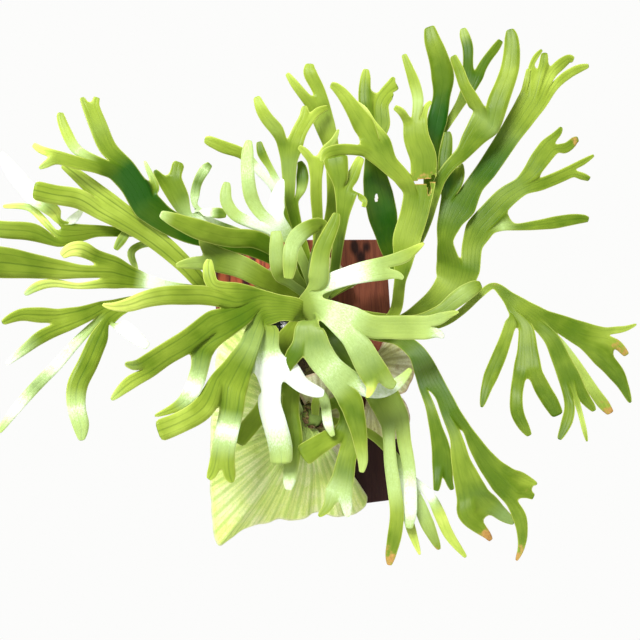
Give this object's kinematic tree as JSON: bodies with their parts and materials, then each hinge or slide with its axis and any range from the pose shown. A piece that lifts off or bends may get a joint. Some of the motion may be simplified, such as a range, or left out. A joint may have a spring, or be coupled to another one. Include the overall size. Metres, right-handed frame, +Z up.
{
  "type": "mounted staghorn fern",
  "caption": "Staghorn fern growing from an upright wooden board: antler-like forked fronds fan out over pale shield fronds and a wrapped root ball, with a keyhole plate at the back.",
  "frame": {"origin": "middle of the board's back face, on the wall plane", "axes": "+Y goes from the back of the board into the wall, so the plant stands out along -Y; +Z is up; +X is to the right for someone facing the plant"},
  "size_m": [0.6256, 0.2211, 0.5341],
  "materials": {
    "leaf": "satin, faintly furred, translucent against the light",
    "shield_green": "matte, ribbed",
    "shield_husk": "dry and papery",
    "moss": "rough, fibrous",
    "scale": "furred with papery scales",
    "film": "glossy, creased",
    "cord": "satin",
    "steel": "zinc plated",
    "wood": "oiled, satin"
  },
  "bodies": {
    "root": {"board": "wood", "hanger_plate": "steel", "hanger_screw_left": "steel", "hanger_screw_right": "steel", "nail_1": "steel", "nail_2": "steel", "nail_3": "steel", "nail_4": "steel", "tie_1": "cord", "tie_2": "cord", "root_ball": "moss", "root_wrap": "film", "crown_main": "scale", "crown_low": "scale", "shield_green": "shield_green", "shield_old": "shield_husk", "shield_right": "shield_husk", "shield_right_low": "shield_husk", "shield_top": "shield_husk", "frond_star": "leaf", "frond_middle": "leaf", "frond_left_front": "leaf", "frond_left_band": "leaf", "frond_left_finger": "leaf", "frond_left_long": "leaf", "frond_far_left_dark": "leaf", "frond_far_left_light": "leaf", "frond_far_left_low": "leaf", "frond_left_middle": "leaf", "frond_left_low": "leaf", "frond_pale": "leaf", "frond_hook": "leaf", "frond_up_left": "leaf", "frond_up_tall": "leaf", "frond_up_fork": "leaf", "frond_up_thin": "leaf", "frond_olive": "leaf", "frond_ragged": "leaf", "frond_shaded": "leaf", "frond_tall_dark": "leaf", "frond_tall_fork": "leaf", "frond_tall_front": "leaf", "frond_right": "leaf", "frond_right_small": "leaf", "frond_far_right": "leaf", "frond_down_right": "leaf", "frond_down": "leaf", "frond_behind_left": "leaf", "frond_low": "leaf", "frond_low_lime": "leaf", "frond_low_finger": "leaf"}
  },
  "joints": []
}
